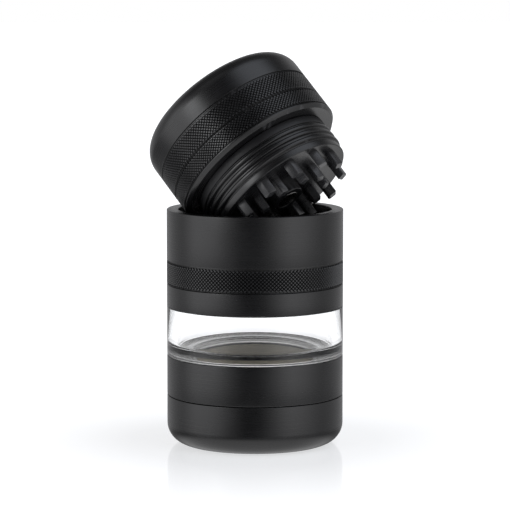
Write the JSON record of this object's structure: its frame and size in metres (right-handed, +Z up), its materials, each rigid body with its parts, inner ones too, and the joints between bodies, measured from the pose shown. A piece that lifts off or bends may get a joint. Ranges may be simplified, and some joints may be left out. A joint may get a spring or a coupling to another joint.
{
  "type": "herb grinder with glass jar",
  "caption": "Hand grinder for herbs and spices: toothed lid, grinding chamber, glass jar, sieve and catch tray screwed in one stack.",
  "frame": {"origin": "centre of the flat base, on the axis of the upright body", "axes": "+Z up along the body's axis; the lid leans toward -X and +Y"},
  "size_m": [0.0702, 0.0684, 0.1401],
  "materials": {
    "anodised": "satin black anodised",
    "dark_metal": "blackened",
    "glass": "clear polished",
    "screen": "fine woven wire",
    "rubber": "matte",
    "polymer": "matte",
    "magnet": "nickel plated"
  },
  "bodies": {
    "tray": {"catch_tray": "anodised"},
    "collar_seal": {"collar_oring": "rubber"},
    "jar": {"sieve_collar": "anodised", "sieve_frame": "dark_metal", "sieve_mesh": "screen", "sieve_retaining_ring": "dark_metal", "jar_bottom_gasket": "polymer", "glass_jar": "glass", "jar_top_gasket": "polymer", "jar_top_collar": "anodised"},
    "chamber_seal": {"chamber_oring": "rubber"},
    "chamber": {"grinding_chamber": "anodised", "chamber_floor": "anodised", "chamber_teeth": "anodised", "chamber_magnet_plug": "dark_metal"},
    "lid_link": {"chamber_magnet": "magnet"},
    "glide_ring": {"rotor_glide_ring": "polymer"},
    "rotor": {"rotor": "anodised", "rotor_teeth": "anodised", "rotor_magnet": "magnet"},
    "cap_seal": {"cap_oring": "rubber"},
    "cap": {"cap": "anodised"}
  },
  "joints": [
    {"name": "jar_lift", "type": "slide", "parent": "tray", "child": "collar_seal", "axis": [0, 0, 1], "range_m": [0, 0.00701]},
    {"name": "jar_turn", "type": "hinge", "parent": "collar_seal", "child": "jar", "pos_m": [0, 0, 0.0178], "axis": [0, 0, 1], "range_deg": [0, 1260]},
    {"name": "chamber_lift", "type": "slide", "parent": "jar", "child": "chamber_seal", "axis": [0, 0, 1], "range_m": [0, 0.00701]},
    {"name": "chamber_turn", "type": "hinge", "parent": "chamber_seal", "child": "chamber", "pos_m": [0, 0, 0.0577], "axis": [0, 0, 1], "range_deg": [0, 1260]},
    {"name": "lid_swing", "type": "hinge", "parent": "chamber", "child": "lid_link", "pos_m": [0, 0, 0.06325], "axis": [0.606, 0.7955, 0], "range_deg": [-99.95, 0]},
    {"name": "lid_tilt", "type": "hinge", "parent": "lid_link", "child": "glide_ring", "pos_m": [0.00448, -0.00341, 0.07686], "axis": [0.606, 0.7955, 0], "range_deg": [0, 144.7]},
    {"name": "lid_spin", "type": "hinge", "parent": "glide_ring", "child": "rotor", "pos_m": [0.00246, -0.00187, 0.09983], "axis": [-0.5605, 0.427, 0.7096], "continuous": true},
    {"name": "cap_lift", "type": "slide", "parent": "rotor", "child": "cap_seal", "axis": [-0.5605, 0.427, 0.7096], "range_m": [0, 0.00701]},
    {"name": "cap_turn", "type": "hinge", "parent": "cap_seal", "child": "cap", "pos_m": [-0.00225, 0.00171, 0.10579], "axis": [-0.5605, 0.427, 0.7096], "range_deg": [0, 1260]}
  ],
  "couplings": [
    {"joint": "jar_lift", "follows": "jar_turn", "m_per_rad": 0.00031831},
    {"joint": "chamber_lift", "follows": "chamber_turn", "m_per_rad": 0.00031831},
    {"joint": "cap_lift", "follows": "cap_turn", "m_per_rad": 0.00031831},
    {"joint": "lid_swing", "follows": "lid_tilt", "ratio": -0.69039}
  ]
}
